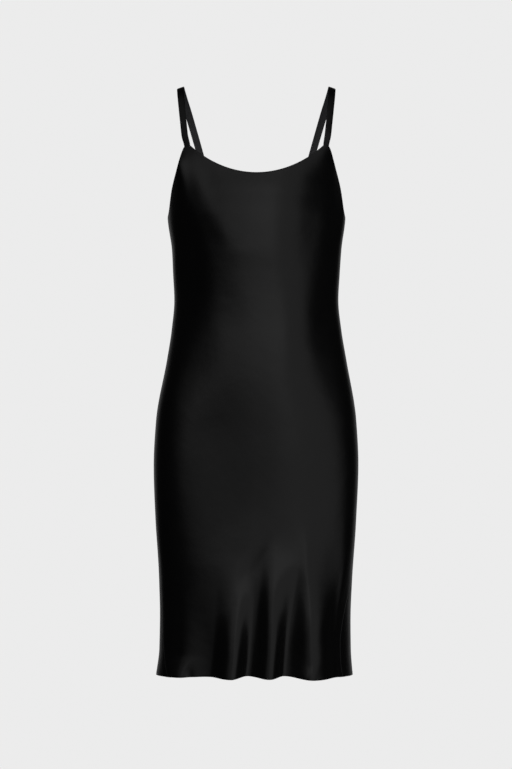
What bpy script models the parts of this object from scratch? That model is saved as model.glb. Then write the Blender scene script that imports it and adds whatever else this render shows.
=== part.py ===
"""A knee-length slip dress of bias-cut satin, hanging from its two straps as it is worn.

Frame: metres, +Z up. The wearer faces -Y, and their left is +X. The origin is midway
between the tops of the two straps, where the shoulders carry the dress.

The cloth is one shell round the body. A point on it is named by its angle round the
body (0 at the centre front, 90 at the wearer's left side, 180 at the centre back) and by
its height. SECTIONS gives the shell's plan at each height, FLUTES the folds that fall to
the hem and DRAPES the soft forms above them. The panels, front and back, are cut from that
shell, and the two straps are sewn inside their top edges.
"""

import math
from collections import namedtuple

import bmesh
import bpy
from mathutils import Vector

WALL = 0.0012  # thickness of the panels' cloth
SEAM_GAP = 0.0003  # space left between two pieces at a seam
SATIN_BLACK = (0.011, 0.011, 0.012, 1.0)
SATIN_ROUGHNESS = 0.42
STRAP_ROUGHNESS = 0.48

# The plan of the shell at each height: half of its width, how far it reaches in front of
# and behind the side line, how square it is (2 is an ellipse), and how far its middle lies
# to the wearer's left.
Section = namedtuple("Section", "height half_width front back square aside")
SECTIONS = (
    Section(-1.060, 0.1761, 0.1230, 0.1230, 2.15, -0.0016),
    Section(-1.037, 0.1728, 0.1220, 0.1220, 2.15, -0.0012),
    Section(-0.990, 0.1683, 0.1200, 0.1200, 2.15, -0.0001),
    Section(-0.940, 0.1677, 0.1190, 0.1190, 2.15, -0.0002),
    Section(-0.870, 0.1702, 0.1185, 0.1190, 2.15, -0.0004),
    Section(-0.765, 0.1773, 0.1185, 0.1210, 2.15, -0.0008),
    Section(-0.667, 0.1809, 0.1180, 0.1230, 2.15, -0.0004),
    Section(-0.588, 0.1769, 0.1150, 0.1190, 2.15, -0.0002),
    Section(-0.482, 0.1586, 0.1080, 0.1010, 2.10, 0.0007),
    Section(-0.429, 0.1500, 0.1100, 0.0930, 2.05, 0.0004),
    Section(-0.376, 0.1450, 0.1150, 0.0900, 2.05, 0.0001),
    Section(-0.330, 0.1473, 0.1205, 0.0930, 2.05, 0.0002),
    Section(-0.287, 0.1498, 0.1260, 0.0970, 2.05, 0.0007),
    Section(-0.232, 0.1570, 0.1290, 0.0985, 2.08, 0.0004),
    Section(-0.190, 0.1582, 0.1200, 0.0970, 2.15, 0.0002),
    Section(-0.150, 0.1577, 0.1060, 0.0930, 2.25, 0.0007),
    Section(-0.100, 0.1549, 0.0900, 0.0870, 2.30, 0.0009),
)

# The folds that fall to the hem, in order round the body, crest and trough by turns:
# where each lies at the hem, how far it stands out of the shell there, how far up it
# reaches, and how many degrees it has drifted by its upper end.
Flute = namedtuple("Flute", "angle out rise drift")
FLUTES = (
    Flute(-176, 0.0110, 0.17, 3),
    Flute(-164, -0.0100, 0.18, 2),
    Flute(-153, 0.0090, 0.15, -3),
    Flute(-140, -0.0080, 0.13, -2),
    Flute(-127, 0.0085, 0.16, -3),
    Flute(-112, -0.0070, 0.12, 0),
    Flute(-92.0, 0.0032, 0.240, 0.0),
    Flute(-74.0, 0.0016, 0.200, -6.0),
    Flute(-50.9, 0.0038, 0.038, 0.8),
    Flute(-27.7, -0.0106, 0.198, 5.6),
    Flute(-12.4, 0.0084, 0.126, 1.3),
    Flute(-4.1, -0.0200, 0.230, 6.0),
    Flute(6.7, 0.0054, 0.270, 3.8),
    Flute(16.5, -0.0200, 0.195, 6.0),
    Flute(32.2, 0.0142, 0.263, -2.8),
    Flute(56.2, -0.0027, 0.186, 1.3),
    Flute(86.0, -0.0010, 0.240, 0.0),
    Flute(107, -0.0070, 0.13, 3),
    Flute(121, 0.0085, 0.17, 2),
    Flute(134, -0.0085, 0.15, 2),
    Flute(146, 0.0095, 0.18, -2),
    Flute(158, -0.0100, 0.16, -3),
    Flute(171, 0.0105, 0.19, -2),
    Flute(177, -0.0050, 0.12, 0),
)
FLUTE_HEAD = 2.14  # the higher, the more suddenly a fold dies away at its upper end
FLUTE_FADE = 1.46  # above 1, that end runs out smoothly into the body of the dress
HEM_DROP = 0.15  # a crest's hem hangs lower by this share of how far it stands out

HEM_FRONT = -1.0337  # the hem's height at the centre front
HEM_SIDE = -1.037  # and at the side seams
HEM_BACK = -1.036  # and at the centre back

# Long soft swells and hollows of the cloth over the body: where the middle of each lies, half
# of its length and of its width, how many degrees its top leans round the body, and how far
# it stands forward or in. The swells run down beside the centre front, where the cloth
# bridges from the bust, and the hollows lie at the sides of the bust and waist, over the
# front of the hips and on the thigh, with short ones at the heads of the folds.
Drape = namedtuple("Drape", "angle height half_length half_width lean out")
DRAPES = (
    Drape(-20.3, -0.262, 0.049, 0.022, -31, 0.0015),
    Drape(-10.0, -0.362, 0.069, 0.026, -15, 0.0014),
    Drape(-14.3, -0.493, 0.091, 0.054, 6, 0.0123),
    Drape(61.6, -0.324, 0.250, 0.061, 2, -0.0240),
    Drape(-60.3, -0.933, 0.250, 0.069, -3, -0.0240),
    Drape(-43.2, -0.259, 0.089, 0.030, -4, 0.0094),
    Drape(38.3, -0.229, 0.086, 0.029, 4, -0.0078),
    Drape(27.0, -0.451, 0.120, 0.054, 23, 0.0115),
    Drape(-57.2, -0.310, 0.143, 0.052, 17, -0.0239),
    Drape(-20.0, -0.670, 0.246, 0.080, 0, -0.0233),
    Drape(30.2, -0.741, 0.182, 0.080, 50, -0.0126),
    Drape(-4.4, -0.850, 0.061, 0.013, 22, -0.0044),
    Drape(13.4, -0.818, 0.045, 0.020, 11, -0.0032),
    Drape(48.6, -0.833, 0.085, 0.043, 19, -0.0114),
    Drape(-37.5, -0.176, 0.050, 0.017, -21, 0.0037),
    Drape(-57.7, -0.141, 0.059, 0.027, -3, 0.0176),
    Drape(61.7, -0.172, 0.121, 0.043, -8, -0.0240),
)
BODY_RADIUS = 0.135  # turns an angle round the body into a length
DRAPES_TOP = -0.1066  # the straps hold the cloth at this height
DRAPE_FADE = 0.060  # how far below that the swells and hollows have their full depth

# The side seams twist forward near the hem, as they do on the bias.
Seam = namedtuple("Seam", "height right left")
SEAMS = (
    Seam(-1.060, -56.0, 65.0),
    Seam(-1.040, -59.3, 63.0),
    Seam(-1.012, -68.0, 61.0),
    Seam(-0.977, -75.3, 61.0),
    Seam(-0.941, -78.5, 64.5),
    Seam(-0.906, -81.0, 71.0),
    Seam(-0.860, -86.0, 86.0),
    Seam(-0.800, -90.0, 90.0),
    Seam(-0.100, -90.0, 90.0),
)
RIGHT, LEFT = 0, 1  # which of the two seams, in the order that SEAMS is read

# The top edges: the front dips between two points under the straps, and runs down each
# armhole to the underarm. The back is cut nearly straight across.
NECK_HEIGHT = -0.1575  # the front neckline's lowest point
POINT_HEIGHT = -0.1066  # the top of each front point
POINT_INNER = 46.6  # where each front point starts and ends round the body
POINT_OUTER = 52.4
NECK_POWER = 2.05  # how the neckline's curve sharpens towards the points
UNDERARM_HEIGHT = -0.2312
Edge = namedtuple("Edge", "angle height")
ARMHOLE = (
    Edge(46.6, -0.1066),
    Edge(51.0, -0.1080),
    Edge(52.6, -0.1104),
    Edge(54.3, -0.1160),
    Edge(57.6, -0.1328),
    Edge(61.0, -0.1501),
    Edge(65.2, -0.1673),
    Edge(69.4, -0.1844),
    Edge(72.8, -0.2016),
    Edge(77.2, -0.2182),
    Edge(83.0, -0.2275),
    Edge(90.0, -0.2312),
)
STEEP_ANGLE = 62.0  # in front of this the armhole climbs fast to the point
BACK_STRAP_ANGLE = 153.0  # where each strap meets the back
BACK_STRAP_HEIGHT = -0.194
BACK_CENTRE_HEIGHT = -0.208
BACK_CENTRE_POWER = 2.0  # how the back's edge curves from its centre up to the straps
BACK_SIDE_POWER = 1.3  # and from the underarms up to them

# How finely the panels are divided.
FRONT_COLUMNS = (7, 5, 3, 36, 3, 5, 7)  # side, steep armhole, point, neckline and back again
BACK_COLUMNS = (16, 20, 16)  # side to strap, strap to strap and on to the other side
ROWS_IN_FLUTES = 12
ROWS_AT_HIPS = 6
ROWS_AT_BUST = 6
ROWS_AT_TOP = 7
FLUTES_TOP = -0.830  # above this height only the heads of the longest folds are left
HIPS_TOP = -0.500
BUST_TOP = -0.275  # above this height the rows fan out to the top edges
SETTLE_ROUNDS = 4  # a corner's angle and height depend on each other, and settle in this many

# The straps: flat satin tubes that cross the shoulders.
STRAP_WIDTH = 0.0130
STRAP_THICK = 0.0014
STRAP_TUCK = 0.018  # how far each end runs down inside the panel it is sewn to
FRONT_TUCK_START = 0.004  # how far under the front point's top the tuck begins
BACK_TUCK_START = 0.002  # and under the back's top edge
STRAP_CLEARANCE = 0.0002  # beyond a seam's gap, since a flat strap lies inside a curved panel
SEAT = WALL + SEAM_GAP + STRAP_THICK / 2 + STRAP_CLEARANCE  # from a panel's face to its middle
STRAP_STEPS = 48
StrapPoint = namedtuple("StrapPoint", "out depth height")
STRAP_PATH = (
    StrapPoint(0.1250, -0.0560, -0.0900),
    StrapPoint(0.1280, -0.0445, -0.0640),
    StrapPoint(0.1311, -0.0300, -0.0350),
    StrapPoint(0.1333, -0.0150, -0.0125),
    StrapPoint(0.1342, 0.0010, -0.0010),
    StrapPoint(0.1339, 0.0070, 0.0000),
    StrapPoint(0.1327, 0.0180, -0.0045),
    StrapPoint(0.1284, 0.0330, -0.0190),
    StrapPoint(0.1229, 0.0450, -0.0360),
    StrapPoint(0.1129, 0.0620, -0.0696),
    StrapPoint(0.1004, 0.0755, -0.1130),
    StrapPoint(0.0890, 0.0820, -0.1530),
)
SHOULDER_CORE_HEIGHT = -0.10  # a strap's face turns away from this height on the body's axis
SHOULDER_SLOPE = 0.25  # how much of the strap's distance out tilts its face outward

# Half steps for measuring a direction or a rate from two points close to each other.
STEP_ROUND = 0.4  # degrees round the body
STEP_UP = 0.002
STEP_ALONG = 0.001  # along a strap


def read_table(rows, place):
    """The rows of a table joined by smooth curves that never overshoot, read at one place.

    The first column says where each row is, and the others are returned as a list.
    """
    spots = [row[0] for row in rows]
    place = min(max(place, spots[0]), spots[-1])
    last = len(rows) - 2
    i = next((k for k in range(last) if place <= spots[k + 1]), last)
    step = spots[i + 1] - spots[i]
    s = (place - spots[i]) / step
    found = []
    for column in range(1, len(rows[0])):
        values = [row[column] for row in rows]
        start = slope_at(spots, values, i) * step
        end = slope_at(spots, values, i + 1) * step
        found.append(
            values[i] * (1 + 2 * s) * (1 - s) ** 2
            + start * s * (1 - s) ** 2
            + values[i + 1] * s * s * (3 - 2 * s)
            - end * s * s * (1 - s)
        )
    return found


def slope_at(spots, values, i):
    """The curve's slope at row i: level at a peak or dip, and otherwise between its neighbours'."""
    if i in (0, len(spots) - 1):
        j = max(i, 1)
        return (values[j] - values[j - 1]) / (spots[j] - spots[j - 1])
    before = (values[i] - values[i - 1]) / (spots[i] - spots[i - 1])
    after = (values[i + 1] - values[i]) / (spots[i + 1] - spots[i])
    if before * after <= 0:
        return 0.0
    return 2 * before * after / (before + after)


def power(value, exponent):
    """value raised to exponent with its sign kept."""
    return math.copysign(abs(value) ** exponent, value)


def shell_point(angle, height):
    """The point of the smooth shell, with no folds, at that angle and height."""
    half_width, front, back, square, aside = read_table(SECTIONS, height)
    turn = math.radians(angle)
    depth = front if math.cos(turn) > 0 else back
    across = aside + half_width * power(math.sin(turn), 2 / square)
    return Vector((across, -depth * power(math.cos(turn), 2 / square), height))


def out_of_shell(angle, height):
    """The level direction that points straight out of the smooth shell."""
    run = shell_point(angle + STEP_ROUND, height) - shell_point(angle - STEP_ROUND, height)
    return Vector((run.y, -run.x, 0)).normalized()


def flute_depth(angle, height):
    """How far the folds push the cloth out of the smooth shell."""
    rise = height - hem_line(angle)
    places = []
    for flute in FLUTES:
        share = min(max(rise / flute.rise, 0.0), 1.0)
        swell = (1 - share**FLUTE_HEAD) ** FLUTE_FADE
        places.append((flute.angle + flute.drift * share, flute.out * swell))
    turn = (angle - places[0][0]) % 360
    for here, after in zip(places, places[1:] + places[:1]):
        span = (after[0] - here[0]) % 360
        if turn <= span:
            ease = (1 - math.cos(math.pi * turn / span)) / 2
            return here[1] + (after[1] - here[1]) * ease
        turn -= span
    return places[0][1]


def drape_push(angle, height):
    """The swells' and hollows' push on the cloth: forward, or backward behind, but not sideways."""
    depth = 0.0
    for drape in DRAPES:
        sideways = math.radians((angle - drape.angle + 180) % 360 - 180) * BODY_RADIUS
        up = height - drape.height
        lean = math.radians(drape.lean)
        along = up * math.cos(lean) + sideways * math.sin(lean)
        across = sideways * math.cos(lean) - up * math.sin(lean)
        far = (along / drape.half_length) ** 2 + (across / drape.half_width) ** 2
        depth += drape.out * math.exp(-far)
    free = min(max((DRAPES_TOP - height) / DRAPE_FADE, 0.0), 1.0)
    depth *= math.sin(math.pi / 2 * free) * math.cos(math.radians(angle))
    return Vector((0, -depth, 0))


def cloth_point(angle, height):
    """The point of the cloth's outer face at that angle and height, folds included."""
    flute = out_of_shell(angle, height) * flute_depth(angle, height)
    return shell_point(angle, height) + flute + drape_push(angle, height)


def cloth_run(angle, height):
    """The step between two points of the cloth, one STEP_ROUND to each side of that angle."""
    return cloth_point(angle + STEP_ROUND, height) - cloth_point(angle - STEP_ROUND, height)


def cloth_face(angle, height):
    """The direction that the cloth's outer face looks in."""
    up = cloth_point(angle, height + STEP_UP) - cloth_point(angle, height - STEP_UP)
    return cloth_run(angle, height).cross(up).normalized()


def degrees_for(length, angle, height):
    """How many degrees round the body span that length of cloth there."""
    return length * 2 * STEP_ROUND / cloth_run(angle, height).length


def hem_line(angle):
    """The height of the hem before its folds raise and lower it."""
    turn = math.radians(angle)
    middle = HEM_FRONT if math.cos(turn) > 0 else HEM_BACK
    return middle + (HEM_SIDE - middle) * math.sin(turn) ** 2


def hem_height(angle):
    return hem_line(angle) - HEM_DROP * flute_depth(angle, hem_line(angle))


def front_top(angle):
    """The height of the front panel's top edge: neckline, then armhole."""
    turn = abs(angle)
    if turn <= POINT_INNER:
        across = shell_point(turn, NECK_HEIGHT).x / shell_point(POINT_INNER, NECK_HEIGHT).x
        return NECK_HEIGHT + (POINT_HEIGHT - NECK_HEIGHT) * across**NECK_POWER
    return read_table(ARMHOLE, turn)[0]


def back_top(angle):
    """The height of the back panel's top edge, highest where the straps are sewn on."""
    turn = abs((angle + 180) % 360 - 180)
    if turn >= BACK_STRAP_ANGLE:
        share = (180 - turn) / (180 - BACK_STRAP_ANGLE)
        rise = (BACK_STRAP_HEIGHT - BACK_CENTRE_HEIGHT) * share**BACK_CENTRE_POWER
        return BACK_CENTRE_HEIGHT + rise
    share = max(turn - 90, 0) / (BACK_STRAP_ANGLE - 90)
    return UNDERARM_HEIGHT + (BACK_STRAP_HEIGHT - UNDERARM_HEIGHT) * share**BACK_SIDE_POWER


def seam(which, side):
    """A side seam's angle as a function of height, moved half the seam's gap to one side.

    which is RIGHT or LEFT, and side is 1 to move it to larger angles and -1 to smaller ones.
    """

    def angle_at(height):
        angle = read_table(SEAMS, height)[which]
        return angle + side * degrees_for(SEAM_GAP / 2, angle, height)

    return angle_at


def spread(stops, shares):
    """Evenly spaced values through each stop in turn, with that many steps between stops."""
    values = [stops[0]]
    for start, end, steps in zip(stops, stops[1:], shares):
        values += [start + (end - start) * (k + 1) / steps for k in range(steps)]
    return values


def row_height(row, bottom, top):
    """The height of a row of the panel, numbered from the hem up."""
    stops = (bottom, FLUTES_TOP, HIPS_TOP, BUST_TOP, top)
    return spread(stops, (ROWS_IN_FLUTES, ROWS_AT_HIPS, ROWS_AT_BUST, ROWS_AT_TOP))[row]


def make_material(name, roughness):
    """Black satin, whose sheen comes from its roughness alone here."""
    material = bpy.data.materials.new(name)
    material.use_nodes = True
    shader = material.node_tree.nodes["Principled BSDF"]
    shader.inputs["Base Color"].default_value = SATIN_BLACK
    shader.inputs["Roughness"].default_value = roughness
    shader.inputs["Metallic"].default_value = 0.0
    return material


def make_sheet(name, columns, rows, place, material):
    """A closed sheet of cloth: a grid of corners on its outer face and one on its inner face.

    place(column, row) gives both points of a corner, the outer one first.
    """
    sheet = bmesh.new()
    corners = {}
    for row in range(rows + 1):
        for column in range(columns + 1):
            outer, inner = place(column, row)
            corners[column, row] = (sheet.verts.new(outer), sheet.verts.new(inner))
    for row in range(rows):
        for column in range(columns):
            square = [(column, row), (column + 1, row), (column + 1, row + 1), (column, row + 1)]
            sheet.faces.new([corners[spot][0] for spot in square])
            sheet.faces.new([corners[spot][1] for spot in reversed(square)])
    border = [(column, 0) for column in range(columns)]
    border += [(columns, row) for row in range(rows)]
    border += [(column, rows) for column in range(columns, 0, -1)]
    border += [(0, row) for row in range(rows, 0, -1)]
    for here, after in zip(border, border[1:] + border[:1]):
        outer, inner = corners[here]
        next_outer, next_inner = corners[after]
        edge = sheet.faces.new([outer, inner, next_inner, next_outer])
        for line in edge.edges:
            line.smooth = False
    mesh = bpy.data.meshes.new(name)
    sheet.to_mesh(mesh)
    sheet.free()
    mesh.materials.append(material)
    for face in mesh.polygons:
        face.use_smooth = True
    piece = bpy.data.objects.new(name, mesh)
    bpy.context.scene.collection.objects.link(piece)
    return piece


def make_panel(name, shares, first_seam, second_seam, top_edge, material):
    """A panel between two side seams, from the hem to its top edge.

    shares puts the columns across the panel, from 0 at the first seam to 1 at the second.
    first_seam and second_seam give the panel's edges at a height.
    """
    rows = ROWS_IN_FLUTES + ROWS_AT_HIPS + ROWS_AT_BUST + ROWS_AT_TOP

    def place(column, row):
        share = shares[column]
        height = HEM_SIDE
        for _ in range(SETTLE_ROUNDS):
            angle = first_seam(height) + (second_seam(height) - first_seam(height)) * share
            height = row_height(row, hem_height(angle), top_edge(angle))
        outer = cloth_point(angle, height)
        return outer, outer - cloth_face(angle, height) * WALL

    return make_sheet(name, len(shares) - 1, rows, place, material)


def make_front(material):
    corners = [(90 - angle) / 180 for angle in (90, STEEP_ANGLE, POINT_OUTER, POINT_INNER)]
    stops = corners + [1 - corner for corner in reversed(corners)]
    shares = spread(stops, FRONT_COLUMNS)
    return make_panel("front", shares, seam(RIGHT, 1), seam(LEFT, -1), front_top, material)


def make_back(material):
    def right_seam_from_behind(height):
        return seam(RIGHT, -1)(height) + 360

    strap = (BACK_STRAP_ANGLE - 90) / 180
    shares = spread((0.0, strap, 1 - strap, 1.0), BACK_COLUMNS)
    return make_panel("back", shares, seam(LEFT, 1), right_seam_from_behind, back_top, material)


def seat_point(side, angle, height):
    """A point inside a panel, mirrored to the left side if it is for the right strap."""
    turn = side * angle
    point = cloth_point(turn, height) - cloth_face(turn, height) * SEAT
    return Vector((side * point.x, point.y, point.z))


def tucked(side, angle, height, across):
    """Three points across a strap where it lies flat against a panel's inner face.

    across is 1 where the strap's outer side is at the larger angle, and -1 where it isn't.
    """
    half = across * degrees_for(STRAP_WIDTH / 2, side * angle, height)
    return [seat_point(side, turn, height) for turn in (angle - half, angle, angle + half)]


def over_shoulder(before, point, after):
    """Three points across a strap where it crosses the shoulder."""
    run = (after - before).normalized()
    face = Vector((SHOULDER_SLOPE * point.x, point.y, point.z - SHOULDER_CORE_HEIGHT))
    across = run.cross(face).normalized() * STRAP_WIDTH / 2
    return [point - across, point, point + across]


def strap_rows(side):
    """A strap as a table: distance along it, then its inner edge, middle and outer edge, three
    coordinates each, all laid out on the wearer's left."""
    front_angle = (POINT_INNER + POINT_OUTER) / 2
    front_start = POINT_HEIGHT - FRONT_TUCK_START
    back_start = BACK_STRAP_HEIGHT - BACK_TUCK_START
    down = [STRAP_TUCK, STRAP_TUCK / 2, 0.0]
    start = [tucked(side, front_angle, front_start - drop, 1) for drop in down]
    end = [tucked(side, BACK_STRAP_ANGLE, back_start - drop, -1) for drop in down[::-1]]
    path = [start[-1][1]] + [Vector(point) for point in STRAP_PATH] + [end[0][1]]
    over = [over_shoulder(*path[k - 1 : k + 2]) for k in range(1, len(path) - 1)]
    rows = []
    distance = 0.0
    threes = start + over + end
    for k, three in enumerate(threes):
        if k:
            distance += (three[1] - threes[k - 1][1]).length
        rows.append((distance, *three[0], *three[1], *three[2]))
    return rows


def make_strap(name, side, material):
    """A strap over one shoulder. side is 1 for the wearer's left and -1 for their right."""
    rows = strap_rows(side)

    def rails(distance):
        found = read_table(rows, distance)
        return [Vector(found[3 * k : 3 * k + 3]) for k in range(3)]

    def place(column, row):
        distance = rows[-1][0] * row / STRAP_STEPS
        points = rails(distance)
        run = rails(distance + STEP_ALONG)[1] - rails(distance - STEP_ALONG)[1]
        face = (points[2] - points[0]).cross(run).normalized() * STRAP_THICK / 2
        rail = column if side > 0 else 2 - column
        corner = [points[rail] + face, points[rail] - face]
        return [Vector((side * point.x, point.y, point.z)) for point in corner]

    return make_sheet(name, 2, STRAP_STEPS, place, material)


def clear_scene():
    for thing in list(bpy.data.objects):
        bpy.data.objects.remove(thing)


def main():
    clear_scene()
    satin = make_material("satin", SATIN_ROUGHNESS)
    strap_satin = make_material("strap_satin", STRAP_ROUGHNESS)
    make_front(satin)
    make_back(satin)
    make_strap("strap_left", 1, strap_satin)
    make_strap("strap_right", -1, strap_satin)


main()
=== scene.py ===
# %% [markdown]
# # A slip dress in black satin
#
# The real dress is four pieces of cloth: a front and a back cut on the bias, and two straps
# that are flat tubes of the same satin. There are no darts, buttons or zip. Everything one
# sees is the way satin lies on a body, falls into flutes at the hem and catches the light.
#
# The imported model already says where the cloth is. This script loads it as a fixed frame and
# then lays thin, finely divided cloth where its solids are. Lengths are in metres and angles
# in degrees. The wearer faces -Y, and their left is +X.

# %% Load the frame
import math
from collections import namedtuple

import bmesh
import bpy
import numpy as np
from mathutils import Matrix, Vector


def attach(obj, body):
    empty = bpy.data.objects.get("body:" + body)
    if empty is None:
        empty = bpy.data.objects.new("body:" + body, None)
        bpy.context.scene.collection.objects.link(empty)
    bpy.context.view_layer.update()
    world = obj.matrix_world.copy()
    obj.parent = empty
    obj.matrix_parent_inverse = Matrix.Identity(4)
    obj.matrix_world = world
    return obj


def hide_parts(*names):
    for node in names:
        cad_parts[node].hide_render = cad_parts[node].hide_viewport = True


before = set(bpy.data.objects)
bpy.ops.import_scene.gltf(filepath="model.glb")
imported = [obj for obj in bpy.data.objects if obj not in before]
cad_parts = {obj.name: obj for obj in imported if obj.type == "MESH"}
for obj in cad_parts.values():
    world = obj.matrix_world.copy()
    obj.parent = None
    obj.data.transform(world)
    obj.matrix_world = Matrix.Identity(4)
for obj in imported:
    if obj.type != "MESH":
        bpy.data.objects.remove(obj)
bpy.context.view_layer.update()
print("nodes of the frame:", sorted(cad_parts))

# %% [markdown]
# ## The camera
#
# A catalogue view of a dress is taken from far away with a long lens, level with the middle
# of the dress, so that nothing leans or bulges. We place the camera by the height of the
# view at the dress, and let the lens follow from it: a lens of length f sees a view of
# height h at distance d when f / sensor = d / h.

# %% Aim the camera
VIEW_DISTANCE = 5.0
VIEW_HEIGHT = 1.3596  # how much the camera sees from top to bottom at the dress, in metres
VIEW_MIDDLE = (-0.0005, -0.5251)  # where the middle of the view is, across and up


def aim_camera():
    lens = bpy.data.cameras.new("camera")
    lens.lens = lens.sensor_width * VIEW_DISTANCE / VIEW_HEIGHT
    camera = bpy.data.objects.new("camera", lens)
    camera.location = (VIEW_MIDDLE[0], -VIEW_DISTANCE, VIEW_MIDDLE[1])
    camera.rotation_euler = (math.radians(90), 0, 0)
    bpy.context.scene.collection.objects.link(camera)
    bpy.context.scene.camera = camera
    return lens


print("lens in millimetres:", round(aim_camera().lens))

# %% [markdown]
# ## Smooth tables
#
# The body's shape is a short table with a row for each height. Between the rows we want a
# smooth curve that never overshoots them, or the cloth would ripple. A cubic through the
# rows does that if its slope at each row is the harmonic mean of the slopes on both sides,
# and level at a peak. We write it once for whole arrays of heights, because a piece of cloth
# has tens of thousands of points.


# %% Read a table along a smooth curve
def read_table(rows, places):
    """The columns of a table at each place. Its first column says where each row is."""
    table = np.array(rows, float)
    spots, values = table[:, 0], table[:, 1:]
    steps = np.diff(spots)[:, None]
    rises = np.diff(values, axis=0) / steps
    before, after = rises[:-1], rises[1:]
    same_way = before * after > 0
    total = np.where(same_way, before + after, 1.0)
    inner = np.where(same_way, 2 * before * after / total, 0.0)
    slopes = np.vstack([rises[:1], inner, rises[-1:]])
    places = np.clip(places, spots[0], spots[-1])
    i = np.clip(np.searchsorted(spots, places) - 1, 0, len(steps) - 1)
    step = steps[i]
    s = (places - spots[i])[..., None] / step
    found = values[i] * (1 + 2 * s) * (1 - s) ** 2 + slopes[i] * step * s * (1 - s) ** 2
    found += values[i + 1] * s**2 * (3 - 2 * s) - slopes[i + 1] * step * s**2 * (1 - s)
    return np.moveaxis(found, -1, 0)


print("halfway up a smooth step:", read_table([(0, 0), (1, 1), (2, 1)], np.array([0.5])))

# %% [markdown]
# ## The shape of the cloth
#
# The cloth is one shell round the body. A point on it is named by its angle round the body,
# 0 at the centre front and 90 at the wearer's left side, and by its height below the tops of
# the straps. At each height its plan is a superellipse, a squared oval, which suits a body
# better than an ellipse, and its middle may lie a little to one side, as worn cloth's does.
# The frame's solids were made from the same sizes, so the cloth lies just where they do.

# %% The sections of the body
# square is the superellipse's power: 2 gives an ellipse, and more a squarer shape
Section = namedtuple("Section", "height half_width front back square aside")
SECTIONS = (
    Section(-1.060, 0.1761, 0.1230, 0.1230, 2.15, -0.0016),
    Section(-1.037, 0.1728, 0.1220, 0.1220, 2.15, -0.0012),
    Section(-0.990, 0.1683, 0.1200, 0.1200, 2.15, -0.0001),
    Section(-0.940, 0.1677, 0.1190, 0.1190, 2.15, -0.0002),
    Section(-0.870, 0.1702, 0.1185, 0.1190, 2.15, -0.0004),
    Section(-0.765, 0.1773, 0.1185, 0.1210, 2.15, -0.0008),
    Section(-0.667, 0.1809, 0.1180, 0.1230, 2.15, -0.0004),
    Section(-0.588, 0.1769, 0.1150, 0.1190, 2.15, -0.0002),
    Section(-0.482, 0.1586, 0.1080, 0.1010, 2.10, 0.0007),
    Section(-0.429, 0.1500, 0.1100, 0.0930, 2.05, 0.0004),
    Section(-0.376, 0.1450, 0.1150, 0.0900, 2.05, 0.0001),
    Section(-0.330, 0.1473, 0.1205, 0.0930, 2.05, 0.0002),
    Section(-0.287, 0.1498, 0.1260, 0.0970, 2.05, 0.0007),
    Section(-0.232, 0.1570, 0.1290, 0.0985, 2.08, 0.0004),
    Section(-0.190, 0.1582, 0.1200, 0.0970, 2.15, 0.0002),
    Section(-0.150, 0.1577, 0.1060, 0.0930, 2.25, 0.0007),
    Section(-0.100, 0.1549, 0.0900, 0.0870, 2.30, 0.0009),
)
print("sections from hem to points:", len(SECTIONS))

# %% [markdown]
# A superellipse is written as an ellipse is, with the sine and the cosine raised to a power
# less than 1. The sign is put back afterwards, because a negative number has no such power.


# %% Points of the smooth shell
def signed_power(values, exponents):
    return np.sign(values) * np.abs(values) ** exponents


def shell_points(angles, heights):
    """Points of the smooth shell, before any fold."""
    half_width, front, back, square, aside = read_table(SECTIONS, heights)
    turn = np.radians(angles)
    depth = np.where(np.cos(turn) > 0, front, back)
    across = aside + half_width * signed_power(np.sin(turn), 2 / square)
    along = -depth * signed_power(np.cos(turn), 2 / square)
    return np.stack([across, along, heights], axis=-1)


STEP_ROUND = 0.4  # half of the step that measures a direction, in degrees round the body
STEP_UP = 0.002  # and in height
WAIST_HEIGHT = -0.376


def out_of_shell(angles, heights):
    """Level directions that point straight out of the shell."""
    run = shell_points(angles + STEP_ROUND, heights) - shell_points(angles - STEP_ROUND, heights)
    out = np.stack([run[..., 1], -run[..., 0], np.zeros(run.shape[:-1])], axis=-1)
    return out / np.linalg.norm(out, axis=-1, keepdims=True)


waist = shell_points(np.array([-90.0, 90.0]), np.full(2, WAIST_HEIGHT))
print("width of the waist:", round(float(waist[1, 0] - waist[0, 0]), 4))

# %% [markdown]
# ## The flutes of the hem
#
# Cloth cut on the bias hangs close over the hips and then has more length round the hem
# than the body needs, so it falls into flutes. Each row of the table is a crest or a trough:
# where it lies at the hem, how far it stands out, how far up it reaches and how far it
# leans. Between neighbours the cloth swings over in a cosine, and each flute dies away
# upwards. A crest also lets the hem drop a little.

# %% The flutes
Flute = namedtuple("Flute", "angle out rise drift")
FLUTES = (
    Flute(-176, 0.0110, 0.17, 3),
    Flute(-164, -0.0100, 0.18, 2),
    Flute(-153, 0.0090, 0.15, -3),
    Flute(-140, -0.0080, 0.13, -2),
    Flute(-127, 0.0085, 0.16, -3),
    Flute(-112, -0.0070, 0.12, 0),
    Flute(-92.0, 0.0032, 0.240, 0.0),
    Flute(-74.0, 0.0016, 0.200, -6.0),
    Flute(-50.9, 0.0038, 0.038, 0.8),
    Flute(-27.7, -0.0106, 0.198, 5.6),
    Flute(-12.4, 0.0084, 0.126, 1.3),
    Flute(-4.1, -0.0200, 0.230, 6.0),
    Flute(6.7, 0.0054, 0.270, 3.8),
    Flute(16.5, -0.0200, 0.195, 6.0),
    Flute(32.2, 0.0142, 0.263, -2.8),
    Flute(56.2, -0.0027, 0.186, 1.3),
    Flute(86.0, -0.0010, 0.240, 0.0),
    Flute(107, -0.0070, 0.13, 3),
    Flute(121, 0.0085, 0.17, 2),
    Flute(134, -0.0085, 0.15, 2),
    Flute(146, 0.0095, 0.18, -2),
    Flute(158, -0.0100, 0.16, -3),
    Flute(171, 0.0105, 0.19, -2),
    Flute(177, -0.0050, 0.12, 0),
)
FLUTE_HEAD = 2.14  # the higher, the more suddenly a flute dies away at its upper end
FLUTE_FADE = 1.46  # above 1, that end runs out smoothly
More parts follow.
